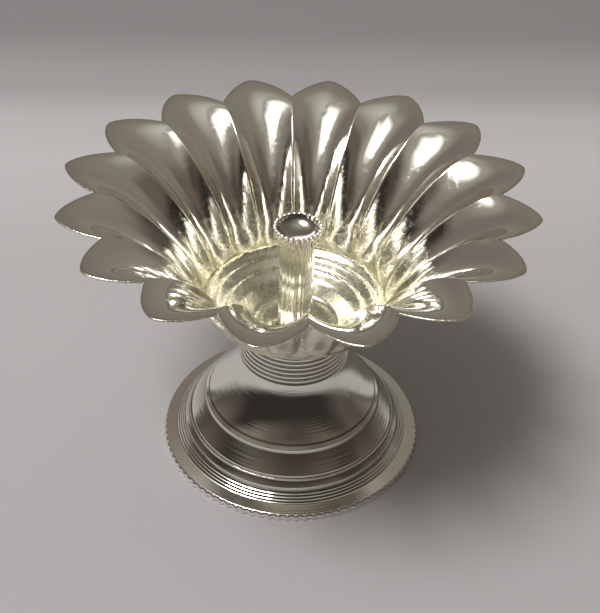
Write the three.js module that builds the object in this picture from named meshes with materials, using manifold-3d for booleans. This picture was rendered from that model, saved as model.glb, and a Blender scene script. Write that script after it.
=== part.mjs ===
// A footed oil lamp in silver-plated brass. A lotus bowl of sixteen fluted petals, pressed from one
// sheet, holds the oil round a central post with a small wick cup. A spun foot carries the bowl: a
// bell with a ringed neck on a knurled flange. A stud with a nut clamps the stack together.
// Millimetres, +Z up. The origin is the middle of the flat ring that the foot rests on, and a notch
// between two petals points along -Y.
import * as THREE from "three";
import { mergeVertices } from "three/addons/utils/BufferGeometryUtils.js";
import Module from "manifold-3d";

const wasm = await Module();
wasm.setup();

// Fits between the pieces
const clearance = 0.3;

// Bowl: the pressed sheet, its rim of tips and notches, and its stepped well
const petalCount = 16;
const bowlSheet = 0.6;
const tipRadius = 40;
const tipRise = 29.1;
const notchDepth = 6.1;
const notchDrop = 0.6;
const wellFloorRadius = 8;
const wellBevelWidth = 2.4;
const wellBevelRise = 2.4;
const wellSlopeWidth = 5;
const wellSlopeRise = 3.2;
const wellLip = 0.6;

// Petals: each flute starts above the well, set back from the creases on its two sides
const fluteRootDepth = 1;
const fluteRootLift = 0.5;

// How round a flute is across its petal: a trough low in the bowl, drawn in to a pointed arch at the
// rim. The onset says how late the arch takes over.
const troughRoundness = 2;
const archRoundness = 1.5;
const archOnset = 4;

// Foot: a spun shell. From its edge inwards come the flange, a grooved slope, a narrow step, a
// steep band and the bell, whose neck ends in a flat seat for the bowl.
const footHeight = 24.9;
const footSheet = 0.8;
const flangeRadius = 24.3;
const flangeWidth = 2.1;
const flangeEdge = 1.1;
const flangeInnerRise = 1.8;
const restWidth = 3.1;
const slopeWidth = 1.8;
const lowRidgeRise = 4.2;
const stepWidth = 1.3;
const midRidgeRise = 5.5;
const bandWidth = 2.7;
const highRidgeRise = 9.2;
const ridgeBead = 0.35;
const grooveCount = 3;
const grooveDepth = 0.12;

// Neck of the foot: turned rings, drawn in a little towards the seat
const neckLength = 5.3;
const neckFootRadius = 10;
const neckSeatRadius = 9.2;
const neckRings = 6;
const neckGrooveDepth = 0.3;

// Knurl of the flange
const flangeTeeth = 96;
const flangeToothDepth = 0.45;
const flangeToothBand = 0.9;

// Post and wick cup
const postLength = 19.3;
const postFootRadius = 3.05;
const postHeadRadius = 2.9;
const cupHeight = 2.3;
const cupRadius = 4.15;
const cupLip = 0.45;
const cupHollowDepth = 1.6;
const cupTeeth = 40;
const cupToothDepth = 0.2;
const cupToothBand = 0.7;
const spigotLength = 3;
const spigotTaper = 0.2;

// Stud, washer and nut under the foot
const studRadius = 1.5;
const studInPost = 7.3;
const studPastNut = 0.8;
const studChamfer = 0.3;
const washerRadius = 3.5;
const washerThickness = 0.5;
const nutSides = 6;
const nutAcrossFlats = 5.5;
const nutHeight = 2.4;

// Facets of the round surfaces, and steps along the curved ones
const footFacets = 48;
const postFacets = 24;
const fastenerFacets = 20;
const petalStrips = 9;
const bellSteps = 6;
const hollowSteps = 4;

// Radii and rises of the bowl and the foot, worked out from the sizes above
const notchRadius = tipRadius - notchDepth;
const notchRise = tipRise - notchDrop;
const wellCreaseRadius = wellFloorRadius + wellBevelWidth;
const wellRimRadius = wellCreaseRadius + wellSlopeWidth;
const wellRimRise = wellBevelRise + wellSlopeRise;
const creaseRootRadius = wellRimRadius + wellLip;
const creaseRootRise = bowlSheet + wellRimRise + wellLip;
const flangeInnerRadius = flangeRadius - flangeWidth;
const restInnerRadius = flangeRadius - restWidth;
const lowRidgeRadius = flangeInnerRadius - slopeWidth;
const midRidgeRadius = lowRidgeRadius - stepWidth;
const highRidgeRadius = midRidgeRadius - bandWidth;
const boreRadius = studRadius + clearance;

// Heights of the stack
const neckFoot = footHeight - neckLength;
const wellFloor = footHeight + bowlSheet;
const cupBase = wellFloor + postLength;
const seatUnderside = footHeight - footSheet;
const washerBase = seatUnderside - washerThickness;
const nutBase = washerBase - nutHeight;

// Half-way and a quarter of the way, used as plain fractions
const half = 1 / 2;
const quarter = 1 / 4;

const { lerp } = THREE.MathUtils;
const point = (radius, height) => new THREE.Vector2(radius, height);

// A shape kept to its positions, with shared corners merged, so that it can be joined or cut.
function weld(geometry) {
  const bare = new THREE.BufferGeometry();
  bare.setAttribute("position", geometry.getAttribute("position"));
  bare.setIndex(geometry.getIndex());
  return mergeVertices(bare);
}

function solidOf(geometry) {
  const welded = weld(geometry);
  const mesh = new wasm.Mesh({
    numProp: 3,
    vertProperties: new Float32Array(welded.getAttribute("position").array),
    triVerts: new Uint32Array(welded.getIndex().array),
  });
  return new wasm.Manifold(mesh);
}

function geometryOf(solid) {
  const mesh = solid.getMesh();
  const geometry = new THREE.BufferGeometry();
  geometry.setAttribute("position", new THREE.BufferAttribute(mesh.vertProperties, 3));
  geometry.setIndex(new THREE.BufferAttribute(mesh.triVerts, 1));
  return geometry;
}

// A profile of [radius, height] points turned round the Z axis. It runs up the outside and closes
// on itself, or starts and ends on the axis.
function turned(profile, facets) {
  const geometry = new THREE.LatheGeometry(profile, facets);
  geometry.rotateX(Math.PI / 2);
  return weld(geometry);
}

// A profile moved sideways by a distance, square to its own line, with mitred corners. The shift
// is to the right of its direction of travel.
function offsetProfile(profile, distance) {
  const edgeNormal = (from, to) => {
    const along = to.clone().sub(from).normalize();
    return point(along.y, -along.x);
  };
  return profile.map((corner, i) => {
    const before = edgeNormal(profile[Math.max(i - 1, 0)], profile[Math.max(i, 1)]);
    const last = profile.length - 1;
    const after = edgeNormal(profile[Math.min(i, last - 1)], profile[Math.min(i + 1, last)]);
    const mitre = before.clone().add(after).divideScalar(1 + before.dot(after));
    return corner.clone().addScaledVector(mitre, distance);
  });
}

// A cubic curve in the section plane from one point to another. Its two handles are shares of the
// radius and of the height between them.
function sectionCurve(from, to, firstShare, secondShare) {
  const at = (share) => point(lerp(from.x, to.x, share[0]), lerp(from.y, to.y, share[1]));
  return new THREE.CubicBezierCurve(from, at(firstShare), at(secondShare), to);
}

// A flat ring with pointed teeth round its outside, from a base height up.
function toothedRing(innerRadius, rootRadius, crestRadius, teeth, base, thickness) {
  const outline = new THREE.Shape();
  for (let i = 0; i < teeth; i++) {
    const rootAngle = (i / teeth) * 2 * Math.PI;
    const crestAngle = ((i + half) / teeth) * 2 * Math.PI;
    const corner = [rootRadius * Math.cos(rootAngle), rootRadius * Math.sin(rootAngle)];
    if (i === 0) outline.moveTo(...corner);
    else outline.lineTo(...corner);
    outline.lineTo(crestRadius * Math.cos(crestAngle), crestRadius * Math.sin(crestAngle));
  }
  outline.closePath();
  const opening = new THREE.Path();
  opening.absarc(0, 0, innerRadius, 0, 2 * Math.PI, true);
  outline.holes.push(opening);
  const geometry = new THREE.ExtrudeGeometry(outline, {
    depth: thickness,
    bevelEnabled: false,
    curveSegments: footFacets / 4,
  });
  geometry.translate(0, 0, base);
  return geometry;
}

// The middle line of a petal, in the hollow of its flute: steep at the well and flat at the tip.
const fluteLineShares = [[0.08, 0.29], [0.59, 1]];
const fluteLine = sectionCurve(
  point(creaseRootRadius + fluteRootDepth, footHeight + creaseRootRise + fluteRootLift),
  point(tipRadius, footHeight + tipRise),
  ...fluteLineShares,
);

// The crease between two petals, which stands proud inside the bowl and ends in a notch of the rim.
const creaseLineShares = [[-0.05, 0.27], [0.58, 0.97]];
const creaseLine = sectionCurve(
  point(creaseRootRadius, footHeight + creaseRootRise),
  point(notchRadius, footHeight + notchRise),
  ...creaseLineShares,
);

// The well's inside, from the stud's hole over the floor and up two low steps, as shares of the way
// from the crease round the floor to the rim of the well.
const wellStepShares = [[0, 0], [0.36, 0.24], [0.43, 0.42], [0.76, 0.64], [0.83, 0.82], [1, 1]];
function wellProfile() {
  const steps = wellStepShares.map(([across, up]) =>
    point(
      lerp(wellCreaseRadius, wellRimRadius, across),
      wellFloor + lerp(wellBevelRise, wellRimRise, up),
    ),
  );
  return [point(boreRadius, wellFloor), point(wellFloorRadius, wellFloor), ...steps];
}

// How far a point has come from a petal's middle line towards its crease, in the section plane, for
// a place across the petal and a place along it.
function towardsCrease(across, along) {
  const roundness = lerp(troughRoundness, archRoundness, along ** archOnset);
  return Math.abs(across) ** roundness;
}

// Places across a petal, from one crease up to the next
const acrossPetalShares = [-1, -0.64, -0.31, 0, 0.31, 0.64];

// One closed loop of corners round the bowl for a place along the petals, on the inside of the
// sheet or, with a sheet thickness, on the outside.
function petalRow(along, sheet) {
  const shifted = (curve) => {
    const tangent = curve.getTangent(along);
    return curve.getPoint(along).add(point(tangent.y, -tangent.x).multiplyScalar(sheet));
  };
  const middle = shifted(fluteLine);
  const crease = shifted(creaseLine);
  return roundPetals((across) => middle.clone().lerp(crease, towardsCrease(across, along)));
}

// A loop of corners round all petals from a section point for each place across one petal.
function roundPetals(sectionPoint) {
  const row = [];
  for (let petal = 0; petal < petalCount; petal++) {
    for (const across of acrossPetalShares) {
      const angle = ((petal + half + across * half) / petalCount) * 2 * Math.PI - Math.PI / 2;
      const corner = sectionPoint(across);
      row.push([corner.x * Math.cos(angle), corner.x * Math.sin(angle), corner.y]);
    }
  }
  return row;
}

// Rows of corners that follow each other round a ring's section; the last joins the first.
function closedRows(rows) {
  const count = rows[0].length;
  const index = [];
  rows.forEach((row, i) => {
    const next = (i + 1) % rows.length;
    for (let j = 0; j < count; j++) {
      const k = (j + 1) % count;
      index.push(i * count + j, next * count + k, i * count + k);
      index.push(i * count + j, next * count + j, next * count + k);
    }
  });
  const geometry = new THREE.BufferGeometry();
  geometry.setAttribute("position", new THREE.Float32BufferAttribute(rows.flat(2), 3));
  geometry.setIndex(index);
  return geometry;
}

// The bowl: well and petals as one sheet, with the stud's hole in the middle of the floor.
function petalBowl() {
  const inside = wellProfile();
  const outside = offsetProfile(inside, bowlSheet);
  const alongs = Array.from({ length: petalStrips + 1 }, (_, i) => i / petalStrips);
  const plainRow = (corner) => roundPetals(() => corner);
  return closedRows([
    ...inside.map(plainRow),
    ...alongs.map((along) => petalRow(along, 0)),
    ...alongs.toReversed().map((along) => petalRow(along, bowlSheet)),
    ...outside.toReversed().map(plainRow),
  ]);
}

// The foot's upper face from the flange to the seat, with a beaded ridge at the top of the slope, of
// the step and of the band.
function ridge(radius, height) {
  return [
    point(radius + ridgeBead * half, height - ridgeBead),
    point(radius + ridgeBead * half, height),
    point(radius - ridgeBead * half, height + ridgeBead * half),
  ];
}

// The bell flares out from the neck to the highest ridge.
const bellFlareShares = [[0.33, 0.2], [0.92, 0.7]];
function bell(ridgeTop) {
  const neckEdge = point(neckFootRadius, neckFoot);
  return sectionCurve(ridgeTop, neckEdge, ...bellFlareShares).getPoints(bellSteps);
}

// The neck: each ring is a flat-topped bead above a cut groove.
const ringCrestShares = [0.28, 0.78];
function ringedNeck() {
  const pitch = neckLength / neckRings;
  const corners = [];
  for (let ring = 0; ring < neckRings; ring++) {
    const at = (share, depth) => {
      const risen = (ring + share) * pitch;
      const crest = lerp(neckFootRadius, neckSeatRadius, risen / neckLength);
      return point(crest - depth, neckFoot + risen);
    };
    const [from, to] = ringCrestShares;
    corners.push(at(0, neckGrooveDepth), at(from, 0), at(to, 0));
  }
  corners.push(point(neckSeatRadius - neckGrooveDepth * half, footHeight));
  return corners;
}

function footUpperFace() {
  const start = point(flangeInnerRadius, flangeInnerRise);
  const end = point(lowRidgeRadius + ridgeBead, lowRidgeRise - 2 * ridgeBead);
  const grooves = [];
  for (let i = 0; i < grooveCount; i++) {
    const crest = start.clone().lerp(end, i / grooveCount);
    const valley = start.clone().lerp(end, (i + half) / grooveCount);
    grooves.push(crest, valley.sub(point(0, grooveDepth)));
  }
  const bellFoot = point(highRidgeRadius - ridgeBead, highRidgeRise + ridgeBead * quarter);
  return [
    point(flangeRadius, flangeEdge),
    ...grooves,
    end,
    ...ridge(lowRidgeRadius, lowRidgeRise),
    ...ridge(midRidgeRadius, midRidgeRise),
    ...ridge(highRidgeRadius, highRidgeRise),
    ...bell(bellFoot),
    ...ringedNeck(),
  ];
}

// The hollow under the foot follows the upper face at the sheet's thickness, without its beads.
function footHollow() {
  const face = [
    point(restInnerRadius + footSheet, footSheet),
    point(lowRidgeRadius + ridgeBead, lowRidgeRise - 2 * ridgeBead),
    point(midRidgeRadius, midRidgeRise),
    ...bell(point(highRidgeRadius, highRidgeRise)),
    point(neckSeatRadius, footHeight),
  ];
  const inner = offsetProfile(face, -footSheet).slice(1, -1);
  return [
    point(restInnerRadius, 0),
    ...inner,
    point(neckSeatRadius - footSheet, seatUnderside),
    point(boreRadius, seatUnderside),
  ];
}

function foot() {
  const hollow = footHollow();
  const shell = turned(
    [
      point(flangeRadius, 0),
      ...footUpperFace(),
      point(boreRadius, footHeight),
      ...hollow.toReversed(),
      point(flangeRadius, 0),
    ],
    footFacets,
  );
  const knurl = toothedRing(
    flangeRadius - flangeToothDepth,
    flangeRadius,
    flangeRadius + flangeToothDepth,
    flangeTeeth,
    0,
    flangeToothBand,
  );
  return geometryOf(solidOf(shell).add(solidOf(knurl)));
}

// The post: a tube, a little stouter at its foot.
function wickPost() {
  return turned(
    [
      point(boreRadius, 0),
      point(postFootRadius, 0),
      point(postHeadRadius, postLength),
      point(boreRadius, postLength),
      point(boreRadius, 0),
    ],
    postFacets,
  );
}

// The wick cup: a short drum with a dished top and a knurled rim, on a spigot in the post.
function wickCup() {
  const hollowRadius = cupRadius - cupLip;
  const dish = [];
  for (let i = 0; i < hollowSteps; i++) {
    const angle = (i / hollowSteps) * (Math.PI / 2);
    const height = cupHeight - cupHollowDepth * Math.sin(angle);
    dish.push(point(hollowRadius * Math.cos(angle), height));
  }
  const drum = turned(
    [
      point(0, -spigotLength),
      point(studRadius - spigotTaper, -spigotLength),
      point(studRadius, spigotTaper - spigotLength),
      point(studRadius, 0),
      point(cupRadius, 0),
      point(cupRadius, cupHeight),
      ...dish,
      point(0, cupHeight - cupHollowDepth),
    ],
    postFacets,
  );
  const knurl = toothedRing(
    cupRadius - cupLip * half,
    cupRadius - cupToothDepth * quarter,
    cupRadius + cupToothDepth,
    cupTeeth,
    cupHeight - cupToothBand,
    cupToothBand,
  );
  return geometryOf(solidOf(drum).add(solidOf(knurl)));
}

// The stud, with chamfered ends, from below the nut up into the post.
function tieStud() {
  const length = wellFloor + studInPost - (nutBase - studPastNut);
  const endRadius = studRadius - studChamfer;
  return turned(
    [
      point(0, 0),
      point(endRadius, 0),
      point(studRadius, studChamfer),
      point(studRadius, length - studChamfer),
      point(endRadius, length),
      point(0, length),
    ],
    fastenerFacets,
  );
}

function washer() {
  return turned(
    [
      point(boreRadius, 0),
      point(washerRadius, 0),
      point(washerRadius, washerThickness),
      point(boreRadius, washerThickness),
      point(boreRadius, 0),
    ],
    fastenerFacets,
  );
}

// The nut: a hexagon whose corners are chamfered by a cone on both faces.
function hexNut() {
  const cornerRadius = nutAcrossFlats / 2 / Math.cos(Math.PI / nutSides);
  const chamfer = cornerRadius - nutAcrossFlats / 2;
  const outline = new THREE.Shape();
  for (let i = 0; i < nutSides; i++) {
    const angle = (i / nutSides) * 2 * Math.PI;
    const corner = [cornerRadius * Math.cos(angle), cornerRadius * Math.sin(angle)];
    if (i === 0) outline.moveTo(...corner);
    else outline.lineTo(...corner);
  }
  outline.closePath();
  const prism = new THREE.ExtrudeGeometry(outline, { depth: nutHeight, bevelEnabled: false });
  const blank = turned(
    [
      point(boreRadius, 0),
      point(cornerRadius - chamfer, 0),
      point(cornerRadius + clearance, chamfer + clearance),
      point(cornerRadius + clearance, nutHeight - chamfer - clearance),
      point(cornerRadius - chamfer, nutHeight),
      point(boreRadius, nutHeight),
      point(boreRadius, 0),
    ],
    fastenerFacets,
  );
  return geometryOf(solidOf(prism).intersect(solidOf(blank)));
}

// Finishes
const silver = { color: 0xd9d4c6, roughness: 0.12, metalness: 1 };
const steel = { color: 0xb4b2ae, roughness: 0.35, metalness: 1 };

const lamp = new THREE.Group();

function place(name, geometry, height, finish) {
  const mesh = new THREE.Mesh(geometry, new THREE.MeshStandardMaterial(finish));
  mesh.name = name;
  mesh.position.z = height;
  lamp.add(mesh);
}

place("foot", foot(), 0, silver);
place("petal_bowl", petalBowl(), 0, silver);
place("wick_post", wickPost(), wellFloor, silver);
place("wick_cup", wickCup(), cupBase, silver);
place("tie_stud", tieStud(), nutBase - studPastNut, steel);
place("washer", washer(), washerBase, steel);
place("hex_nut", hexNut(), nutBase, steel);

export default lamp;
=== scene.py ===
"""A footed oil lamp in silver plate: a pressed lotus bowl with a wick post on a spun bell foot.

The fine surfaces are worked out here from a few sizes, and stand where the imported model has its
pieces. Profiles are written in millimetres as rows of (radius, height), and meshes are made in
metres.
"""

import bpy
import numpy as np
from bpy.props import FloatProperty, FloatVectorProperty, IntProperty, PointerProperty
from mathutils import Matrix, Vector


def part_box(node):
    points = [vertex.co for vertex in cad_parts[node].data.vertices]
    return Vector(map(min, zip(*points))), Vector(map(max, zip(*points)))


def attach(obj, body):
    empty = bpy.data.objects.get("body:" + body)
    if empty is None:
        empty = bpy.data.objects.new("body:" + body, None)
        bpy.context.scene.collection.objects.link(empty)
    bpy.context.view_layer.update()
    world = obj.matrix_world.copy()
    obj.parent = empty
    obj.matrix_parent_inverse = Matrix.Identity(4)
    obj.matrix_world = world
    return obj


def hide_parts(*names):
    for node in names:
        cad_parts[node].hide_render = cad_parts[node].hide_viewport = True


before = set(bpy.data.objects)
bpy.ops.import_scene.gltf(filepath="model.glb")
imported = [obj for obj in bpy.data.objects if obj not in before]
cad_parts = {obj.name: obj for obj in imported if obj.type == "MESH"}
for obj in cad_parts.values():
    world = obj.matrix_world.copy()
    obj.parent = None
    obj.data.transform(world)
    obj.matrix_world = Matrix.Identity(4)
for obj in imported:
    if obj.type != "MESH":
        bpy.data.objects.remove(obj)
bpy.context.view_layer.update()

bl_info = {
    "name": "Lotus oil lamp",
    "version": (1, 0, 0),
    "blender": (4, 5, 0),
    "location": "3D View > Sidebar > Lamp",
    "description": "Builds a silver-plated lotus oil lamp and the plain studio round it",
    "category": "Add Mesh",
}

MM = 0.001


def low(node):
    """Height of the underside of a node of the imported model, in millimetres."""
    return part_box(node)[0].z / MM


def high(node):
    """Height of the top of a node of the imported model, in millimetres."""
    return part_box(node)[1].z / MM


# Sizes, finishes and stage


class BowlSizes(bpy.types.PropertyGroup):
    """Sizes of the pressed bowl."""

    petals: IntProperty(name="Petals", description="Petals round the rim", default=16, min=3)
    sheet: FloatProperty(
        name="Sheet", description="Thickness of the pressed sheet", default=0.0006, unit="LENGTH")
    tip_radius: FloatProperty(
        name="Tip radius", description="From the axis to a petal's tip", default=0.04,
        unit="LENGTH")
    notch_depth: FloatProperty(
        name="Notch depth", description="How far a notch cuts in from the tips", default=0.0061,
        unit="LENGTH")
    notch_drop: FloatProperty(
        name="Notch drop", description="How far a notch lies below the tips", default=0.0006,
        unit="LENGTH")
    floor_radius: FloatProperty(
        name="Floor radius", description="Radius of the flat floor of the well", default=0.008,
        unit="LENGTH")
    ripple: FloatProperty(
        name="Ripple", description="Height of the shallow ripples left by pressing",
        default=0.00005, unit="LENGTH")
    seed: IntProperty(name="Seed", description="Picks the pattern of the ripples", default=7)


class FootSizes(bpy.types.PropertyGroup):
    """Sizes of the spun foot."""

    flange_radius: FloatProperty(
        name="Flange radius", description="From the axis to the edge inside the knurl",
        default=0.0243, unit="LENGTH")
    teeth: IntProperty(
        name="Teeth", description="Teeth of the knurl round the flange", default=96, min=3)
    tooth_depth: FloatProperty(
        name="Tooth depth", description="Height of a tooth of the knurl", default=0.00045,
        unit="LENGTH")
    sheet: FloatProperty(
        name="Sheet", description="Thickness of the spun sheet", default=0.0008, unit="LENGTH")
    neck_length: FloatProperty(
        name="Neck length", description="Height of the ringed neck under the bowl", default=0.0053,
        unit="LENGTH")
    rings: IntProperty(name="Rings", description="Turned rings of the neck", default=6, min=1)
    groove: FloatProperty(
        name="Groove", description="Depth of the grooves between the rings", default=0.0003,
        unit="LENGTH")


class WickSizes(bpy.types.PropertyGroup):
    """Sizes of the wick cup on its post."""

    radius: FloatProperty(
        name="Radius", description="Outer radius of the wick cup", default=0.00415, unit="LENGTH")
    beads: IntProperty(name="Beads", description="Beads round the cup's rim", default=28, min=3)


class SilverFinish(bpy.types.PropertyGroup):
    """Colours of the plate."""

    silver: FloatVectorProperty(
        name="Silver", description="Colour of the clean plate", default=(0.93, 0.906, 0.84),
        subtype="COLOR", min=0, max=1)
    stain: FloatVectorProperty(
        name="Stain", description="Colour of the tarnish in corners and on the rim",
        default=(0.5, 0.47, 0.32), subtype="COLOR", min=0, max=1)
    # tint of an oily film deep in the bowl, and painted shade that darkens the well
    film_and_shade: FloatVectorProperty(
        name="Film", description="Tint of the oily film deep in the bowl",
        default=(0.8, 0.788, 0.685), subtype="COLOR", min=0, max=1)
    # tint of the dirt in turned grooves, and painted shade there, between the cup's beads and in
    # its dish
    grime_and_shade: FloatVectorProperty(
        name="Grime", description="Tint of the dirt in turned grooves", default=(0.2, 0.17, 0.14),
        subtype="COLOR", min=0, max=1)
    steel: FloatVectorProperty(
        name="Steel", description="Colour of the stud, washer and nut", default=(0.55, 0.54, 0.52),
        subtype="COLOR", min=0, max=1)


class StageSettings(bpy.types.PropertyGroup):
    """The plain studio: floor, lights and camera."""

    floor: FloatVectorProperty(
        name="Floor", description="Colour of the floor", default=(0.505, 0.49, 0.5),
        subtype="COLOR", min=0, max=1)
    focal_length: FloatProperty(
        name="Focal length", description="Of the camera, for a sensor 36 mm high", default=63.232,
        subtype="DISTANCE_CAMERA")


# Curves and surfaces


def bezier(start, end, first_share, second_share, t):
    """Points of a cubic curve: (1-t)^3 A + 3(1-t)^2 t B + 3(1-t) t^2 C + t^3 D.

    B and C are shares of the radius and of the height from the start A to the end D.
    """
    start, end = np.array(start, float), np.array(end, float)
    second = start + (end - start) * first_share
    third = start + (end - start) * second_share
    t = np.asarray(t, float)[:, None]
    s = 1 - t
    return s**3 * start + 3 * s**2 * t * second + 3 * s * t**2 * third + t**3 * end


def normals_right(profile):
    """Unit vectors square to a profile, to the right of its direction of travel."""
    along = np.gradient(profile, axis=0)
    along /= np.linalg.norm(along, axis=1, keepdims=True)
    return np.stack([along[:, 1], -along[:, 0]], axis=1)


def offset(corners, distance):
    """A polyline moved to its right by a distance, with mitred corners.

    Each corner moves by d (a + b) / (1 + a.b), where a and b are the unit normals of its two sides.
    """
    sides = np.diff(corners, axis=0)
    sides /= np.linalg.norm(sides, axis=1, keepdims=True)
    across = np.stack([sides[:, 1], -sides[:, 0]], axis=1)
    before = np.vstack([across[:1], across])
    after = np.vstack([across, across[-1:]])
    mitre = (before + after) / (1 + (before * after).sum(axis=1, keepdims=True))
    return corners + distance * mitre


def rounded(corners, radius, steps=4, hold=0.08):
    """A polyline with its inner corners rounded, and a row just before and after each bend.

    A corner C becomes the curve (1-t)^2 A + 2(1-t)t C + t^2 B, with A and B on its two sides at the
    given distance from C, or nearer where a side is short.
    """
    corners = np.array(corners, float)
    radius = np.broadcast_to(radius, len(corners) - 2)[:, None]
    before, middle, after = corners[:-2], corners[1:-1], corners[2:]
    back, forth = before - middle, after - middle
    back_length = np.linalg.norm(back, axis=1, keepdims=True)
    forth_length = np.linalg.norm(forth, axis=1, keepdims=True)
    back, forth = back / back_length, forth / forth_length
    a = np.minimum(radius, 0.45 * back_length)
    b = np.minimum(radius, 0.45 * forth_length)
    t = np.linspace(0, 1, steps + 1)[None, :, None]
    first, last = (middle + back * a)[:, None], (middle + forth * b)[:, None]
    bend = (1 - t) ** 2 * first + 2 * t * (1 - t) * middle[:, None] + t**2 * last
    lead = (middle + back * np.minimum(a + hold, 0.49 * back_length))[:, None]
    tail = (middle + forth * np.minimum(b + hold, 0.49 * forth_length))[:, None]
    bends = np.concatenate([lead, bend, tail], axis=1).reshape(-1, 2)
    return np.vstack([corners[:1], bends, corners[-1:]])


def around(radius, height):
    """Points from a radius for each row and column and a height for each row.

    Columns stand at even angles, and r, z and the angle a give (r cos a, r sin a, z).
    """
    columns = radius.shape[1]
    angle = np.arange(columns) / columns * 2 * np.pi
    level = np.broadcast_to(height[:, None], radius.shape)
    return np.stack([radius * np.cos(angle), radius * np.sin(angle), level], axis=2)


def turned(profile, columns):
    """A surface of revolution: each (r, z) of the profile goes once round the axis."""
    radius, height = np.asarray(profile, float).T
    return around(np.broadcast_to(radius[:, None], (len(radius), columns)), height)


def pushed_out(points, amount):
    """Points moved away from the axis by an amount for each row and column."""
    radius = np.linalg.norm(points[..., :2], axis=2)
    grown = points.copy()
    grown[..., :2] *= ((radius + amount) / np.maximum(radius, 1e-9))[..., None]
    return grown


def triangle_wave(turns):
    """1 at whole turns, 0 half-way between them, and straight in between."""
    return np.abs(2 * (turns % 1) - 1)


def grid_mesh(name, points, closed=True, attributes=None):
    """An object from rows of points in millimetres, whose columns go round the axis.

    Rows run up the outside. A closed grid joins its last row to its first; otherwise the first and
    the last row are poles on the axis. Attributes hold a value for each point.
    """
    rows, columns = points.shape[:2]
    index = np.arange(rows * columns).reshape(rows, columns)
    right = np.roll(index, -1, axis=1)
    if closed:
        up, up_right = np.roll(index, -1, axis=0), np.roll(right, -1, axis=0)
        faces = np.stack([index, right, up_right, up], axis=2).reshape(-1, 4)
        places = points.reshape(-1, 3)
        corners, sizes = faces.ravel(), np.full(len(faces), 4)
    else:
        body = points[1:-1].reshape(-1, 3)
        places = np.vstack([points[0, :1], body, points[-1, :1]])
        ring = index[: rows - 2] + 1
        ring_right = np.roll(ring, -1, axis=1)
        quads = np.stack([ring[:-1], ring_right[:-1], ring_right[1:], ring[1:]], axis=2)
        bottom, top = np.zeros(columns, int), np.full(columns, len(places) - 1)
        below = np.stack([bottom, ring_right[0], ring[0]], axis=1)
        above = np.stack([ring[-1], ring_right[-1], top], axis=1)
        corners = np.concatenate([quads.ravel(), below.ravel(), above.ravel()])
        sizes = np.concatenate([np.full(quads.size // 4, 4), np.full(2 * columns, 3)])
    mesh = bpy.data.meshes.new(name)
    mesh.vertices.add(len(places))
    mesh.vertices.foreach_set("co", (places * MM).astype(np.float32).ravel())
    mesh.loops.add(len(corners))
    mesh.loops.foreach_set("vertex_index", corners.astype(np.int32))
    mesh.polygons.add(len(sizes))
    mesh.polygons.foreach_set("loop_start", (np.cumsum(sizes) - sizes).astype(np.int32))
    mesh.polygons.foreach_set("loop_total", sizes.astype(np.int32))
    mesh.update(calc_edges=True)
    mesh.validate()
    mesh.shade_smooth()
    for key, values in (attributes or {}).items():
        held = mesh.attributes.new(key, "FLOAT", "POINT")
        held.data.foreach_set("value", values.astype(np.float32).ravel())
    piece = bpy.data.objects.new(name, mesh)
    bpy.context.scene.collection.objects.link(piece)
    return piece


def fit(piece, material, slot, *nodes):
    """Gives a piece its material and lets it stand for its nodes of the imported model."""
    piece.data.materials.append(material)
    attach(piece, "root")
    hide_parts(*nodes)


# Materials

# lumps for each metre
SMUDGES, STAINS, DENTS, SPECKS, PITS = 60, 140, 220, 900, 1500
TURNED_LINES, LINE_PATCHES = 5200, 90
STEEL_BLOTCHES, STEEL_GRAIN = 400, 1500
# what each of these adds to the roughness
STAIN_DULLNESS, FILM_DULLNESS, FLANGE_DULLNESS = 0.25, 0.18, 0.1
# heights, in metres, between which the flange's dullness fades out
FLANGE_FADE = (0.0014, 0.002)
# height against dents of 1, and how much a rise counts along the profile against a step outwards
PIT_HEIGHT, RISE_SHARE = 9.0, 1.3


def new_material(name):
    """A new node material, its node tree and its shader."""
    material = bpy.data.materials.new(name)
    material.use_nodes = True
    tree = material.node_tree
    return material, tree, tree.nodes["Principled BSDF"]


def node(tree, kind, **values):
    """A new node. Values that name a socket are set there, and the others are its settings."""
    made = tree.nodes.new(kind)
    for key, value in values.items():
        if key in made.inputs:
            made.inputs[key].default_value = value
        else:
            setattr(made, key, value)
    return made


def sum_of(tree, operation, *values):
    """A Math node on sockets or numbers."""
    made = node(tree, "ShaderNodeMath", operation=operation)
    for socket, value in zip(made.inputs, values):
        if isinstance(value, (int, float)):
            socket.default_value = value
        else:
            tree.links.new(value, socket)
    return made.outputs[0]


def remap(tree, value, low_in, high_in, low_out, high_out, kind="LINEAR"):
    """A value mapped from one range to another and kept inside it."""
    made = node(tree, "ShaderNodeMapRange", interpolation_type=kind, clamp=True)
    tree.links.new(value, made.inputs["Value"])
    names = ("From Min", "From Max", "To Min", "To Max")
    for key, number in zip(names, (low_in, high_in, low_out, high_out)):
        made.inputs[key].default_value = number
    return made.outputs["Result"]


def blend(tree, share, first, second, kind="MIX"):
    """A Mix node on two colours, each of them a socket or three numbers."""
    made = node(tree, "ShaderNodeMix", data_type="RGBA", blend_type=kind)
    tree.links.new(share, made.inputs[0])
    for socket, colour in ((made.inputs[6], first), (made.inputs[7], second)):
        if isinstance(colour, bpy.types.NodeSocket):
            tree.links.new(colour, socket)
        else:
            socket.default_value = (*colour, 1)
    return made.outputs[2]


def tone_ramp(tree, value, tones, kind="LINEAR"):
    """A colour that follows a value from 0 to 1, through rows of (place, colour)."""
    made = node(tree, "ShaderNodeValToRGB")
    made.color_ramp.interpolation = kind
    tree.links.new(value, made.inputs[0])
    stops = made.color_ramp.elements
    while len(stops) < len(tones):
        stops.new(0.5)
    for stop, (place, colour) in zip(stops, tones):
        stop.position = place
        stop.color = (*colour, 1)
    return made.outputs[0]


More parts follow.
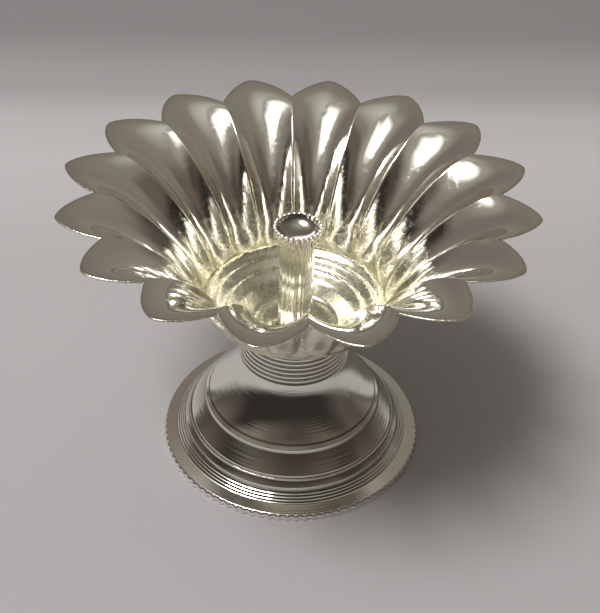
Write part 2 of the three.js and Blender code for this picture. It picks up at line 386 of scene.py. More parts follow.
def noise(tree, place, scale, detail=3.0, roughness=0.5):
    """Noise at a place, with about one lump for each 1/scale metres."""
    made = node(tree, "ShaderNodeTexNoise", Scale=scale, Detail=detail, Roughness=roughness)
    tree.links.new(place, made.inputs["Vector"])
    return made.outputs["Fac"]


def object_place(tree):
    """The place on the piece, in metres from the lamp's origin."""
    return node(tree, "ShaderNodeTexCoord").outputs["Object"]


def attribute(tree, name):
    """A value that the piece's mesh holds for each of its points."""
    return node(tree, "ShaderNodeAttribute", attribute_name=name).outputs["Fac"]


def radius_and_height(tree, place):
    """Distance from the axis and height above the floor, in metres."""
    apart = node(tree, "ShaderNodeSeparateXYZ")
    tree.links.new(place, apart.inputs[0])
    squares = sum_of(
        tree, "ADD",
        sum_of(tree, "MULTIPLY", apart.outputs[0], apart.outputs[0]),
        sum_of(tree, "MULTIPLY", apart.outputs[1], apart.outputs[1]),
    )
    return sum_of(tree, "SQRT", squares), apart.outputs[2]


def silver_plate(name, finish, dull=(0.05, 0.14), turning=0.0, haze=0.0, film_and_shade=None):
    """Mirror-bright silver plate: smudges, shallow dents and stains, with turning marks if wanted.

    The surface is smooth in some patches and duller in others, between the two roughnesses given,
    and haze adds to the roughness in small specks.

    A tint veils and dulls the plate where the attribute deep says so: an oily tint with painted
    shade in the bowl's well, dirt with painted shade in the foot's grooves, and painted shade on
    the cup. The attribute corner stains and pits it.

    The turning marks are rings about the axis: noise of the distance along the profile, which the
    radius and the height stand in for. They come with a dull flange.
    """
    material, tree, shader = new_material(name)
    place = object_place(tree)
    shader.inputs["Metallic"].default_value = 1
    speck = noise(tree, place, SPECKS, 2, 0.6)
    stained = remap(tree, noise(tree, place, STAINS, 5, 0.65), 0.62, 0.78, 0, 0.35)
    if film_and_shade:
        corner = attribute(tree, "corner")
        deep = attribute(tree, "deep")
        spotted = sum_of(tree, "MULTIPLY", corner, remap(tree, speck, 0.35, 0.7, 0.2, 1))
        stained = sum_of(tree, "MAXIMUM", stained, spotted)
    colour = blend(tree, stained, finish.silver, finish.stain)
    rough = remap(tree, noise(tree, place, SMUDGES, 4, 0.6), 0.35, 0.75, *dull)
    rough = sum_of(tree, "ADD", rough, sum_of(tree, "MULTIPLY", stained, STAIN_DULLNESS))
    rough = sum_of(tree, "ADD", rough, remap(tree, speck, 0.45, 0.75, 0, haze))
    height = noise(tree, place, DENTS, 2, 0.5)
    if film_and_shade:
        # painted shade: the tint darkens the plate where the attribute deep is high
        colour = blend(tree, deep, colour, film_and_shade, "MULTIPLY")
        rough = sum_of(tree, "ADD", rough, sum_of(tree, "MULTIPLY", deep, FILM_DULLNESS))
        pits = sum_of(tree, "MULTIPLY", noise(tree, place, PITS, 2, 0.6), corner)
        height = sum_of(tree, "ADD", height, sum_of(tree, "MULTIPLY", pits, PIT_HEIGHT))
    if turning:
        radius, level = radius_and_height(tree, place)
        along = sum_of(tree, "ADD", radius, sum_of(tree, "MULTIPLY", level, RISE_SHARE))
        join = node(tree, "ShaderNodeCombineXYZ")
        tree.links.new(along, join.inputs[0])
        lines = noise(tree, join.outputs[0], TURNED_LINES, 2, 0.55)
        patch = remap(tree, noise(tree, place, LINE_PATCHES, 2, 0.5), 0.4, 0.62, 0.15, 1)
        lines = sum_of(tree, "MULTIPLY", sum_of(tree, "MULTIPLY", lines, patch), turning)
        height = sum_of(tree, "ADD", height, lines)
        rough = sum_of(tree, "ADD", rough, remap(tree, level, *FLANGE_FADE, FLANGE_DULLNESS, 0))
    tree.links.new(colour, shader.inputs["Base Color"])
    tree.links.new(rough, shader.inputs["Roughness"])
    bump = node(tree, "ShaderNodeBump", Strength=0.25, Distance=0.00006)
    tree.links.new(height, bump.inputs["Height"])
    tree.links.new(bump.outputs[0], shader.inputs["Normal"])
    return material


def plain_steel(finish):
    """Dull zinc-grey steel, a little blotchy."""
    material, tree, shader = new_material("Plain steel")
    place = object_place(tree)
    shader.inputs["Metallic"].default_value = 1
    shader.inputs["Base Color"].default_value = (*finish.steel, 1)
    rough = remap(tree, noise(tree, place, STEEL_BLOTCHES, 4), 0.3, 0.7, 0.28, 0.45)
    tree.links.new(rough, shader.inputs["Roughness"])
    bump = node(tree, "ShaderNodeBump", Strength=0.2, Distance=0.00005)
    tree.links.new(noise(tree, place, STEEL_GRAIN, 3), bump.inputs["Height"])
    tree.links.new(bump.outputs[0], shader.inputs["Normal"])
    return material


# Bowl

# control points of a petal's middle line and of its crease line, as shares of radius and height
FLUTE_SHARES = ((0.08, 0.29), (0.59, 1.0))
CREASE_SHARES = ((-0.05, 0.27), (0.58, 0.97))
# the well, from its floor outwards: a bevel, a slope with two steps, and a lip
WELL_BEVEL = 2.4
WELL_SLOPE = np.array([5, 3.2])
WELL_STEP_SHARES = np.array([
    [0, 0], [0.36, 0.24], [0.43, 0.42], [0.76, 0.64], [0.83, 0.82], [1, 1],
])
WELL_LIP = 0.6
FLUTE_ROOT = np.array([1, 0.5])
BORE_RADIUS = 1.8
COLUMNS_PER_PETAL, COLUMN_CROWDING = 40, 1.6
INSIDE_ROWS, OUTSIDE_ROWS, EDGE_ROWS = 52, 24, 4
INSIDE_CROWDING, OUTSIDE_CROWDING = 1.25, 1.15
TROUGH_ROUNDNESS, ARCH_ROUNDNESS, ARCH_ONSET = 2.0, 1.5, 4
LAND_SHARE, LAND_FADE = 0.11, 1.5
FLUTE_END_SHARE = 0.16
EDGE_SOFTNESS = 0.035
# the rim: how much thinner the sheet is there, and how far its round edge stands out
RIM_THINNING, RIM_THINNING_ONSET, RIM_BULGE = 0.45, 6, 0.4
# ripples: number of waves, their range of turns round the axis and of radians along a petal
RIPPLE_WAVES, RIPPLE_TURNS, RIPPLE_RUN = 9, (5, 34), (2, 16)
# how far petals bend and differ in length, as standard deviations
PETAL_LIFT, PETAL_REACH = 0.12, 0.1
RIM_STAIN, CREASE_STAIN = 0.8, 0.45


def petal_columns(petals):
    """For each column its angle and its place u across its petal, from -1 at one crease to 1.

    Columns crowd towards the creases: u = sign(v) (1 - (1 - |v|)^k) for even steps of v.
    """
    v = np.arange(COLUMNS_PER_PETAL) / COLUMNS_PER_PETAL * 2 - 1
    u = np.sign(v) * (1 - (1 - np.abs(v)) ** COLUMN_CROWDING)
    petal = np.repeat(np.arange(petals), COLUMNS_PER_PETAL)
    u = np.tile(u, petals)
    angle = (petal + 0.5 + u / 2) / petals * 2 * np.pi - np.pi / 2
    return angle, u, petal


def flute_depth(t, u):
    """How far a place lies from the crease's level towards the flute's middle line, from 0 to 1.

    It is x = 1 - (|u|/f)^p - y^2, with its negative part cut off softly. The flute fills the share
    f of the petal's width, p makes a trough low down and an arch at the rim, and y rounds its lower
    end.
    """
    t, u = t[:, None], np.abs(u)[None, :]
    roundness = TROUGH_ROUNDNESS + (ARCH_ROUNDNESS - TROUGH_ROUNDNESS) * t**ARCH_ONSET
    width = 1 - LAND_SHARE * (1 - t) ** LAND_FADE
    end = np.clip((FLUTE_END_SHARE - t) / FLUTE_END_SHARE, 0, 1)
    x = 1 - (u / width) ** roundness - end**2
    softness = EDGE_SOFTNESS * (1 - t) + 1e-4
    soft = (x + np.sqrt(x**2 + softness**2)) / 2
    return np.clip(soft, 0, 1)


def petal_surface(t, u, flute, crease):
    """Points from the crease line C to the flute's middle line F: C (1 - d) + F d at depth d."""
    depth = flute_depth(t, u)[..., None]
    return crease[:, None] * (1 - depth) + flute[:, None] * depth


def bowl_points(sizes):
    """Rows of the bowl's skin: up the outside, over the rim and down the inside to the stud's hole.

    The inside of the petals lies between two curves, and the outside lies square to them at the
    sheet's thickness, less a share 0.45 t^6 towards the rim. Also gives, for the marks, each row's
    share t of the way up the petals and each point's depth in its flute.
    """
    sheet = sizes.sheet / MM
    base = low("petal_bowl")
    floor = base + sheet
    angle, u, petal = petal_columns(sizes.petals)
    floor_radius = sizes.floor_radius / MM
    bevel = np.array([floor_radius + WELL_BEVEL, floor + WELL_BEVEL])
    steps = bevel + WELL_STEP_SHARES * WELL_SLOPE
    root = steps[-1] + WELL_LIP
    corners = np.vstack([[BORE_RADIUS, floor], [floor_radius, floor], steps])
    edge = sheet * RIM_BULGE
    tip = np.array([sizes.tip_radius / MM - edge, high("petal_bowl")])
    notch = tip - np.array([sizes.notch_depth, sizes.notch_drop]) / MM

    def lines(t):
        return (
            bezier(root + FLUTE_ROOT, tip, *map(np.array, FLUTE_SHARES), t),
            bezier(root, notch, *map(np.array, CREASE_SHARES), t),
        )

    def petals(t, thickness):
        flute, crease = lines(t)
        fine = np.linspace(0, 1, 400)
        fine_flute, fine_crease = lines(fine)
        shifted = []
        for line, fine_line in ((flute, fine_flute), (crease, fine_crease)):
            normal = normals_right(fine_line)
            right = np.stack([np.interp(t, fine, normal[:, k]) for k in (0, 1)], axis=1)
            shifted.append(line + right * thickness)
        return petal_surface(t, u, *shifted)

    inside_t = np.linspace(0, 1, INSIDE_ROWS) ** INSIDE_CROWDING
    outside_t = np.linspace(0, 1, OUTSIDE_ROWS) ** OUTSIDE_CROWDING
    inside = petals(inside_t, 0)
    thinning = RIM_THINNING * outside_t[:, None] ** RIM_THINNING_ONSET
    outside = petals(outside_t, sheet * (1 - thinning))
    top, under = inside[-1], outside[-1]
    forward = inside[-1] - inside[-2]
    forward /= np.linalg.norm(forward, axis=1, keepdims=True)
    turn = np.linspace(0, np.pi, EDGE_ROWS + 2)[1:-1, None, None]
    rim = (top + under) / 2 + (under - top) / 2 * np.cos(turn) + forward * edge * np.sin(turn)
    well_inside = rounded(corners, radius=0.5, steps=3)
    well_outside = rounded(offset(corners, sheet), radius=0.4, steps=2)

    def round_rows(profile):
        return np.broadcast_to(profile[:, None], (len(profile), len(u), 2))

    rows = np.concatenate([
        round_rows(well_outside),
        outside,
        rim,
        inside[::-1],
        round_rows(well_inside[::-1]),
    ])
    petal_t = np.concatenate([outside_t, np.ones(EDGE_ROWS), inside_t[::-1]])
    well = (len(well_outside), len(well_inside))
    t = np.pad(petal_t, well)
    depth = np.pad(flute_depth(petal_t, u), (well, (0, 0)))
    rows = rows + hand_work(sizes, t, angle, petal, depth)
    points = np.stack(
        [rows[..., 0] * np.cos(angle), rows[..., 0] * np.sin(angle), rows[..., 1]], axis=2)
    return points, t, depth


def hand_work(sizes, t, angle, petal, depth):
    """Small departures of a hand-finished pressing, as shifts of radius and height.

    The ripples are a sum of waves sin(n a + k t + c) and grow as t^1.5 towards the rim. Each petal
    also bends a little up or down and runs a little long or short, which grows as t^3.
    """
    random = np.random.default_rng(sizes.seed)
    ripple = sizes.ripple / MM
    wave = np.zeros((len(t), len(angle)))
    for _ in range(RIPPLE_WAVES):
        turns, along = random.integers(*RIPPLE_TURNS), random.uniform(*RIPPLE_RUN)
        start = random.uniform(0, 2 * np.pi)
        wave += np.sin(turns * angle[None, :] + along * t[:, None] + start)
    wave *= ripple / 3 * t[:, None] ** 1.5
    lift = random.normal(0, PETAL_LIFT, sizes.petals)[petal]
    reach = random.normal(0, PETAL_REACH, sizes.petals)[petal]
    grown = depth * t[:, None] ** 3
    return np.stack([grown * reach, wave + grown * lift], axis=2)


def bowl_marks(t, depth):
    """How much stain, and oily tint with painted shade, lie on each point, from 0 to 1.

    Stains lie along the rim and in the creases, where they fade out up the petals. The oily tint
    and painted shade are full in the well and fall as 1 - 2.2 t up the petals.
    """
    t = t[:, None]
    crease = (1 - depth) * (t > 0) * np.clip(1.2 - 1.6 * t, 0, 1) * CREASE_STAIN
    corner = np.maximum(crease, RIM_STAIN * (t == 1))
    # deep: the oily tint and the painted shade in the well
    return {"corner": corner, "deep": np.broadcast_to(np.clip(1 - 2.2 * t, 0, 1), depth.shape)}


class LAMP_OT_bowl(bpy.types.Operator):
    """Press the lotus bowl: petals, well and rim in one sheet"""

    bl_idname = "lamp.bowl"
    bl_label = "Lotus bowl"

    def execute(self, context):
        lamp = context.scene.lamp
        points, t, depth = bowl_points(lamp.bowl)
        piece = grid_mesh("lotus_bowl", points, attributes=bowl_marks(t, depth))
        # the well is darkened by an oily tint and painted shade
        plate = silver_plate(
            "Pressed silver plate", lamp.finish, dull=(0.04, 0.11), haze=0.13,
            film_and_shade=lamp.finish.film_and_shade)
        fit(piece, plate, "silver_plate", "petal_bowl")
        return {"FINISHED"}


# Foot

# widths run inwards from the flange's edge, rises run up from the floor
FLANGE_WIDTH, FLANGE_EDGE, FLANGE_INNER_RISE, REST_WIDTH = 2.1, 1.15, 1.6, 3.1
SLOPE_WIDTH, LOW_RIDGE_RISE = 1.85, 3.9
STEP_WIDTH, MID_RIDGE_RISE = 1.25, 5.65
PAIR_WIDTH, PAIR_RISE = 0.42, 5.15
BAND_WIDTH, HIGH_RIDGE_RISE = 2.7, 9.2
LOW_WALL, PAIR_WALL, MID_WALL, HIGH_WALL = 0.75, 0.38, 0.45, 0.75
WALL_LEAN = 0.22
GROOVES, GROOVE_DEPTH = 4, 0.09
BELL_SHARES, BELL_ROWS = ((0.33, 0.2), (0.92, 0.7)), 32
NECK_FOOT_RADIUS, NECK_SEAT_RADIUS = 10.0, 9.2
RING_SQUARENESS, ROWS_PER_RING = 3, 8
TOOTH_BAND, COLUMNS_PER_TOOTH = 0.9, 4
# half-width of the dirt and painted shade in the slope's grooves, at the walls, above the high wall
# and in the neck
GRIME_AND_SHADE_WIDTHS = (0.06, 0.13, 0.12, 0.2)


def wall(radius, top, height):
    """Corners of a steep little wall on the foot's upper face, which leans in as it rises."""
    return np.array([[radius + WALL_LEAN * height, top - height], [radius, top]])


def neck_rows(sizes, top):
    """The neck: from foot to seat radius, less a groove wherever two rings meet.

    Within a ring the surface is the crest less the groove's depth times |s|^n, s from -1 to 1.
    """
    share = np.linspace(0, 1, sizes.rings * ROWS_PER_RING + 1)
    crest = NECK_FOOT_RADIUS + (NECK_SEAT_RADIUS - NECK_FOOT_RADIUS) * share
    within = 2 * ((share * sizes.rings) % 1) - 1
    radius = crest - sizes.groove / MM * np.abs(within) ** RING_SQUARENESS
    return np.stack([radius, top - sizes.neck_length / MM * (1 - share)], axis=1)


def foot_points(sizes):
    """The foot's closed skin: up over the flange, ridges, bell and neck, and back down inside.

    Each tooth of the knurl moves the flange's edge out by its depth times a triangle wave of the
    angle. Also gives the dirt and painted shade at each point: 1.3 less its distance from the
    nearest groove or wall over that mark's half-width, kept between 0 and 1. It darkens the
    grooves, the walls' feet, a line above the high wall and the neck's rings as painted shade, with
    some dirt.
    """
    flange = sizes.flange_radius / MM
    sheet = sizes.sheet / MM
    top = high("foot")
    slope_start = np.array([flange - FLANGE_WIDTH, FLANGE_INNER_RISE])
    low_ridge = slope_start[0] - SLOPE_WIDTH
    mid_ridge = low_ridge - STEP_WIDTH
    high_ridge = mid_ridge - BAND_WIDTH
    walls = [
        wall(low_ridge, LOW_RIDGE_RISE, LOW_WALL),
        wall(mid_ridge + PAIR_WIDTH, PAIR_RISE, PAIR_WALL),
        wall(mid_ridge, MID_RIDGE_RISE, MID_WALL),
        wall(high_ridge, HIGH_RIDGE_RISE + HIGH_WALL / 4, HIGH_WALL),
    ]
    slope_end = walls[0][0] + [0.05, -0.02]
    slope = slope_end - slope_start
    share = np.arange(GROOVES)[:, None] / GROOVES
    crest = slope_start + slope * share
    valley = slope_start + slope * (share + 0.5 / GROOVES) - [0, GROOVE_DEPTH]
    grooves = np.stack([crest, valley], axis=1).reshape(-1, 2)
    neck = neck_rows(sizes, top)
    bell_end = [NECK_FOOT_RADIUS, neck[0, 1] - 0.1]
    bell = bezier(walls[-1][1], bell_end, *map(np.array, BELL_SHARES), np.linspace(0, 1, BELL_ROWS))
    edge = [[flange - 0.15, 0], [flange, 0.12], [flange, TOOTH_BAND], [flange - 0.12, FLANGE_EDGE]]
    upper_corners = np.vstack([edge, grooves, slope_end, *walls, bell[1]])
    upper = rounded(upper_corners, radius=0.07, steps=3, hold=0.03)
    inner_corners = np.vstack([
        [flange - REST_WIDTH + sheet, sheet], slope_end,
        [mid_ridge, MID_RIDGE_RISE], [high_ridge, HIGH_RIDGE_RISE], bell[7::8],
        [NECK_SEAT_RADIUS, top],
    ])
    inner = offset(inner_corners, -sheet)
    under_corners = np.vstack([
        [flange - REST_WIDTH, 0], inner[1:-1],
        [NECK_SEAT_RADIUS - sheet, top - sheet], [BORE_RADIUS, top - sheet],
    ])
    under = rounded(under_corners, radius=0.4, steps=2)
    profile = np.vstack([upper, bell[2:], neck, [[BORE_RADIUS, top]], under[::-1]])
    columns = sizes.teeth * COLUMNS_PER_TOOTH
    points = turned(profile, columns)
    tooth = triangle_wave(np.arange(columns) / COLUMNS_PER_TOOTH)
    height = profile[:, 1]
    outer = (profile[:, 0] > flange - 0.14) & (height > 0.05)
    fade = np.interp(height, [0, 0.15, TOOTH_BAND - 0.2, FLANGE_EDGE - 0.02], [0, 1, 1, 0]) * outer
    points = pushed_out(points, fade[:, None] * tooth[None, :] * sizes.tooth_depth / MM)
    # painted shade with some dirt: darker in the grooves, at the walls, above the high wall and
    # between the neck's rings
    marks = [valley, [corners[0] for corners in walls], bell[3:4], neck[::ROWS_PER_RING]]
    widths = np.repeat(GRIME_AND_SHADE_WIDTHS, [len(group) for group in marks])
    away = np.linalg.norm(profile[:, None] - np.vstack(marks)[None], axis=2) / widths
    grime_and_shade = np.clip(1.3 - away.min(axis=1), 0, 1)
    return points, np.repeat(grime_and_shade[:, None], columns, axis=1)


class LAMP_OT_foot(bpy.types.Operator):
    """Spin the foot: bell, neck, ridges and knurled flange"""

    bl_idname = "lamp.foot"
    bl_label = "Spun foot"

    def execute(self, context):
        lamp = context.scene.lamp
        points, grime_and_shade = foot_points(lamp.foot)
        # the attribute deep carries the painted shade, with some dirt, in the foot's grooves and
        # rings
        piece = grid_mesh("spun_foot", points, attributes={"corner": 0 * grime_and_shade, "deep": grime_and_shade})
        plate = silver_plate("Spun silver plate", lamp.finish, turning=2.5, film_and_shade=lamp.finish.grime_and_shade)
        fit(piece, plate, "silver_plate", "foot")
        return {"FINISHED"}


# Post and wick cup

POST_FOOT_RADIUS, POST_HEAD_RADIUS, POST_COLUMNS = 3.05, 2.9, 240
FLAT_DEPTH, FLAT_WAVES = 0.03, (5, 9, 14, 22, 31)
SPIGOT_LENGTH, SPIGOT_RADIUS = 3.0, 1.5
CUP_LIP, CUP_HOLLOW = 0.5, 2.2
BEAD_RADIUS, BEAD_WAIST, COLUMNS_PER_BEAD = 0.38, 0.45, 12
# part of a turn that the lip's round goes through, and of a quarter turn where the dish begins
LIP_START, LIP_END, DISH_START = -0.175, 0.425, 0.18
LIP_ROWS, DISH_ROWS = 14, 14
# how much painted shade darkens the dish
DISH_SHADE = 0.5


def post_points():
    """The post's skin: a tube, a little stouter at its foot, with faint flats along it.

    The flats are a sum of waves round the axis: d = 0.03 sin(n a + n^2) mm for a few whole n.
    """
    base, top = low("wick_post"), high("wick_post")
    profile = rounded([
        [BORE_RADIUS, base], [POST_FOOT_RADIUS, base], [POST_HEAD_RADIUS, top], [BORE_RADIUS, top],
    ], radius=[0.15, 0.1])
    angle = np.arange(POST_COLUMNS) / POST_COLUMNS * 2 * np.pi
    flats = sum(FLAT_DEPTH * np.sin(n * angle + n * n) for n in FLAT_WAVES)
    outside = (profile[:, 0] > POST_HEAD_RADIUS - 0.01)[:, None]
    return pushed_out(turned(profile, POST_COLUMNS), outside * flats)


def cup_points(sizes):
    """The cup's skin from the spigot's end to the bottom of its dish, with beads round the rim.

    A bead's size is sqrt(1 - 0.9 s^2), for s from -1 to 1 along it, and never less than its waist.
    Also gives the painted shade: 1.6 less twice that size between the beads, and a darker dish.
    """
    base, top = low("wick_cup") + SPIGOT_LENGTH, high("wick_cup")
    outer = sizes.radius / MM
    hollow = outer - CUP_LIP
    drum = rounded([
        [0, base - SPIGOT_LENGTH], [SPIGOT_RADIUS, base - SPIGOT_LENGTH], [SPIGOT_RADIUS, base],
        [outer - 0.1, base], [outer, base + 0.12], [outer, top - 0.72], [outer - 0.14, top - 0.62],
    ], radius=0.1)[:-1]
    turn = np.linspace(LIP_START, LIP_END, LIP_ROWS) * 2 * np.pi
    middle = np.array([outer - 0.2, top - BEAD_RADIUS])
    arc = np.stack([np.cos(turn), np.sin(turn)], axis=1)
    lip = middle + BEAD_RADIUS * arc
    fall = np.linspace(DISH_START, 1, DISH_ROWS)[:, None] * np.pi / 2
    dish = np.hstack([hollow * np.cos(fall), top - CUP_HOLLOW * np.sin(fall)])
    dish[-1, 0] = 0
    profile = np.vstack([drum, lip, dish])
    columns = sizes.beads * COLUMNS_PER_BEAD
    across = 2 * (np.arange(columns) / COLUMNS_PER_BEAD % 1) - 1
    size = np.sqrt(1 - 0.9 * across**2)
    points = turned(profile, columns)
    held = slice(len(drum), len(drum) + len(lip))
    shrunk = middle + BEAD_RADIUS * arc[:, None] * np.maximum(size, BEAD_WAIST)[None, :, None]
    points[held] = np.concatenate(
        [points[held, :, :2] * (shrunk[..., :1] / lip[:, None, :1]), shrunk[..., 1:]], axis=2)
    # painted shade: darker between the beads and in the dish
    gap = np.zeros(points.shape[:2])
    gap[held] = np.clip(1.6 - 2 * size, 0, 1)
    gap[held.stop + 1:] = DISH_SHADE
    return points, gap


class LAMP_OT_wick_holder(bpy.types.Operator):
    """Turn the wick post and its beaded cup"""

    bl_idname = "lamp.wick_holder"
    bl_label = "Wick post and cup"

    def execute(self, context):
        lamp = context.scene.lamp
        material = silver_plate("Drawn silver plate", lamp.finish, dull=(0.06, 0.14))
        fit(grid_mesh("post_tube", post_points()), material, "silver_plate", "wick_post")
        points, gap = cup_points(lamp.wick)
        # the cup's painted shade, between its beads and in its dish
        deep = np.concatenate([gap[0, :1], gap[1:-1].ravel(), gap[-1, :1]])
        marks = {"corner": 0 * deep, "deep": deep}
        cup = grid_mesh("beaded_cup", points, closed=False, attributes=marks)
        plate = silver_plate("Turned silver plate", lamp.finish, film_and_shade=lamp.finish.grime_and_shade)
        fit(cup, plate, "silver_plate", "wick_cup")
        return {"FINISHED"}


# Stud, washer and nut

THREAD_PITCH, THREAD_DEPTH, THREAD_LENGTH = 0.5, 0.28, 4
STUD_RADIUS, STUD_CHAMFER = 1.5, 0.3
THREAD_ROWS, SHANK_ROWS = 72, 12
WASHER_RADIUS, WASHER_BREAK = 3.5, 0.05
NUT_FLATS, NUT_ROWS, NUT_CONE_RISE = 5.5, 15, 0.14
FASTENER_COLUMNS = 72


def stud_points():
    """The stud: its radius less the thread's depth times a triangle wave of z / pitch - turn.

    The cut runs out at the thread's upper end, and a chamfer takes both ends in.
    """
    base, top = low("tie_stud"), high("tie_stud")
    runout = base + THREAD_LENGTH
    threaded = np.linspace(base, runout, THREAD_ROWS)
    plain = np.linspace(runout + 0.2, top, SHANK_ROWS)
    height = np.concatenate([threaded, plain])
    turn = np.arange(FASTENER_COLUMNS) / FASTENER_COLUMNS
    cut = triangle_wave(height[:, None] / THREAD_PITCH - turn[None, :])
    cut = cut * np.interp(height, [base, base + 0.3, runout - 0.4, runout], [0.6, 1, 1, 0])[:, None]
    radius = STUD_RADIUS - THREAD_DEPTH * cut
    chamfer = np.interp(height, [base, base + STUD_CHAMFER, top - STUD_CHAMFER, top],
                        [STUD_CHAMFER, 0, 0, STUD_CHAMFER])
    skin = around(np.minimum(radius, STUD_RADIUS - chamfer[:, None]), height)
    ends = turned([[0, base], [0, top]], FASTENER_COLUMNS)
    return np.concatenate([ends[:1], skin, ends[1:]])


def washer_points():
    """The washer: a flat ring with broken edges."""
    base, top = low("washer"), high("washer")
    inner = BORE_RADIUS + WASHER_BREAK
    corners = [
        [BORE_RADIUS, base + WASHER_BREAK], [inner, base], [WASHER_RADIUS, base],
        [WASHER_RADIUS, top], [inner, top], [BORE_RADIUS, top - WASHER_BREAK],
    ]
    return turned(rounded(corners, radius=0.08, steps=2), FASTENER_COLUMNS)


def nut_points():
    """The nut: r = a / cos(angle from the nearest flat), where a is half the width over flats.

    A cone cuts r back at both ends, to a at each face.
    """
    base, top = low("hex_nut"), high("hex_nut")
    apothem, corner = NUT_FLATS / 2, NUT_FLATS / np.sqrt(3)
    angle = np.arange(FASTENER_COLUMNS) / FASTENER_COLUMNS * 2 * np.pi
    from_flat = (angle + np.pi / 6) % (np.pi / 3) - np.pi / 6
    share = np.linspace(0, 1, NUT_ROWS)
    cone = np.interp(share, [0, NUT_CONE_RISE, 1 - NUT_CONE_RISE, 1], [0, 1, 1, 0])
    reach = apothem + (corner - apothem) * cone * 1.05
    radius = np.minimum(apothem / np.cos(from_flat)[None, :], reach[:, None])
    bore = turned([[BORE_RADIUS, top], [BORE_RADIUS, base]], FASTENER_COLUMNS)
    return np.concatenate([around(radius, base + (top - base) * share), bore])


class LAMP_OT_fasteners(bpy.types.Operator):
    """Fit the stud, the washer and the nut under the foot"""

    bl_idname = "lamp.fasteners"
    bl_label = "Stud, washer and nut"

    def execute(self, context):
        steel = plain_steel(context.scene.lamp.finish)
        stud = grid_mesh("threaded_stud", stud_points(), closed=False)
        fit(stud, steel, "plain_steel", "tie_stud")
        fit(grid_mesh("flat_washer", washer_points()), steel, "plain_steel", "washer")
        fit(grid_mesh("six_sided_nut", nut_points()), steel, "plain_steel", "hex_nut")
        return {"FINISHED"}


# Stage

# the camera's angles in degrees, and its place in millimetres
CAMERA_TURN, CAMERA_ELEVATION, CAMERA_ROLL = -4.029, 38.871, 2.409
CAMERA_TARGET = np.array([0, 0, 20.0])
CAMERA_DISTANCE, CAMERA_RIGHT, CAMERA_UP = 199.058, 1.167, 7.295
# metres, as are the floor's front and back, between which its tone changes
FLOOR_RADIUS, FLOOR_SIDES, FLOOR_RISE, FLOOR_DROP = 2.0, 64, 0.26, 0.00002
FLOOR_FRONT, FLOOR_BACK = -0.2, 0.4
# share of the way from front to back, and share of the floor's colour
# painted light and shade: lighter in a band across the middle, darker towards the back
FLOOR_TONES = (
    (0, 0.92), (0.27, 0.92), (0.4, 0.99), (0.5, 1.15), (0.53, 1.08), (0.57, 0.78), (0.64, 0.55),
)
# degrees, metres and watts
KEY_AZIMUTH, KEY_ELEVATION, KEY_DISTANCE = -62, 67, 1.5
KEY_WIDTH, KEY_HEIGHT, KEY_POWER = 0.7, 0.5, 15
# elevation in degrees, and colour
SURROUND = (
    (0, (0.25, 0.232, 0.2)),
    (30, (0.2, 0.182, 0.155)),
    (60, (0.225, 0.208, 0.172)),
    (75, (0.4, 0.39, 0.355)),
    (90, (0.52, 0.51, 0.48)),
)
# azimuth, elevation, half-width, half-height and softness of the edge in degrees, and colour
CARDS = (
    (20, 34, 62, 16, 7, (0.13, 0.103, 0.086)),
    (3, 34, 22, 11, 9, (0.07, 0.058, 0.05)),
    (-22, 11, 96, 16, 4, (0.03, 0.025, 0.022)),
    (85, 11, 24, 14, 10, (0.085, 0.071, 0.064)),
    (-135, 28, 45, 20, 12, (0.185, 0.153, 0.14)),
    (-60, 67, 82, 23, 9, (0.32, 0.305, 0.26)),
    (-62, 67, 55, 12.5, 4, (1.12, 1.12, 1.08)),
)


def camera_matrix():
    """Stands the camera back from its target along its view, shifted right and up, and rolled."""
    turn, elevation, roll = np.radians([CAMERA_TURN, CAMERA_ELEVATION, CAMERA_ROLL])
    forward = np.array([0, np.cos(elevation), -np.sin(elevation)])
    side = np.array([1, 0, 0])
    up = np.cross(side, forward)
    right = np.cos(roll) * side + np.sin(roll) * up
    upward = -np.sin(roll) * side + np.cos(roll) * up
    place = CAMERA_TARGET - forward * CAMERA_DISTANCE + right * CAMERA_RIGHT + upward * CAMERA_UP
    spin = np.array([[np.cos(turn), -np.sin(turn), 0], [np.sin(turn), np.cos(turn), 0], [0, 0, 1]])
    matrix = np.eye(4)
    matrix[:3, :3] = spin @ np.stack([right, upward, -forward], axis=1)
    matrix[:3, 3] = spin @ place * MM
    return Matrix(matrix)


def add_camera(stage):
    """The camera, in metres, with the photograph's field of view."""
    lens = bpy.data.cameras.new("Camera")
    lens.lens = stage.focal_length
    lens.sensor_width = 36
    lens.clip_start = 0.01
    camera = bpy.data.objects.new("Camera", lens)
    camera.matrix_world = camera_matrix()
    bpy.context.scene.collection.objects.link(camera)
    bpy.context.scene.camera = camera


